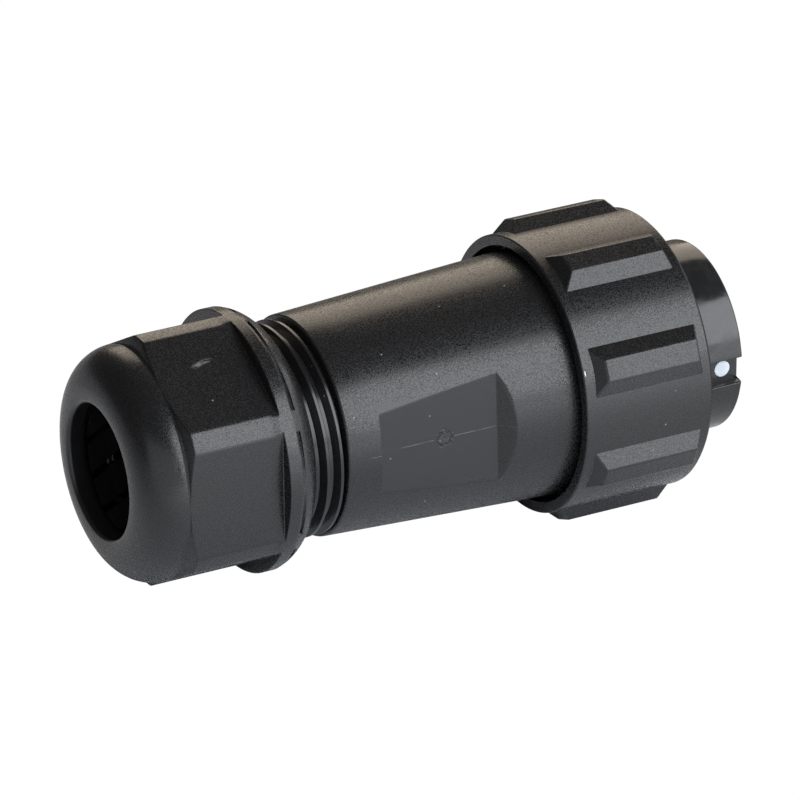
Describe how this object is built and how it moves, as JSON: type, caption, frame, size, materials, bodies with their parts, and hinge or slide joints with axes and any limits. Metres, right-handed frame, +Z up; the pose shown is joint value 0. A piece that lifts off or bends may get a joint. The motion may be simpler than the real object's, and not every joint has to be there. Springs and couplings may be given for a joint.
{
  "type": "circular cable connector",
  "caption": "Straight circular cable connector with a domed clamping gland nut, a tapered housing, a free-turning ribbed coupling ring and a keyed plug sleeve with socket contacts.",
  "frame": {"origin": "on the axis, in the plane of the interface gasket's front face, where the mating socket's rim seats", "axes": "+X along the connector towards its mating face, -Y on the side of the keyway, +Z up as it lies"},
  "size_m": [0.0845, 0.037, 0.037],
  "materials": {
    "moulded_black": "finely grained moulded plastic",
    "smooth_black": "smooth satin moulded plastic",
    "cage_plastic": "plain moulded plastic",
    "insert_plastic": "plain moulded plastic",
    "seal_rubber": "matt rubber",
    "mark_white": "white plastic",
    "contact_brass": "turned",
    "spring_steel": "rolled spring steel",
    "screw_steel": "plated steel"
  },
  "bodies": {
    "housing_body": {"housing": "moulded_black", "gland_seal": "seal_rubber", "thrust_washer": "cage_plastic", "ring_retainer": "spring_steel", "plug_sleeve": "smooth_black", "index_mark": "mark_white", "sleeve_seal": "seal_rubber", "interface_gasket": "seal_rubber", "contact_insert": "insert_plastic", "insert_lock_ring": "cage_plastic", "contact_1": "contact_brass", "contact_2": "contact_brass", "contact_3": "contact_brass", "contact_4": "contact_brass", "contact_5": "contact_brass", "contact_6": "contact_brass", "contact_earth": "contact_brass", "terminal_screws": "screw_steel"},
    "coupling_ring_body": {"coupling_ring": "moulded_black"},
    "cage_body": {"clamp_cage": "cage_plastic"},
    "nut_body": {"gland_nut": "moulded_black"}
  },
  "joints": [
    {"name": "ring_turn", "type": "hinge", "parent": "housing_body", "child": "coupling_ring_body", "pos_m": [0, 0, 0], "axis": [1, 0, 0], "continuous": true},
    {"name": "gland_slide", "type": "slide", "parent": "housing_body", "child": "cage_body", "axis": [1, 0, 0], "range_m": [-0.0096, 0.0035]},
    {"name": "nut_turn", "type": "hinge", "parent": "cage_body", "child": "nut_body", "pos_m": [-0.055, 0, 0], "axis": [1, 0, 0], "range_deg": [-1800, 640]}
  ],
  "couplings": [
    {"joint": "gland_slide", "follows": "nut_turn", "m_per_rad": 0.00030239}
  ]
}
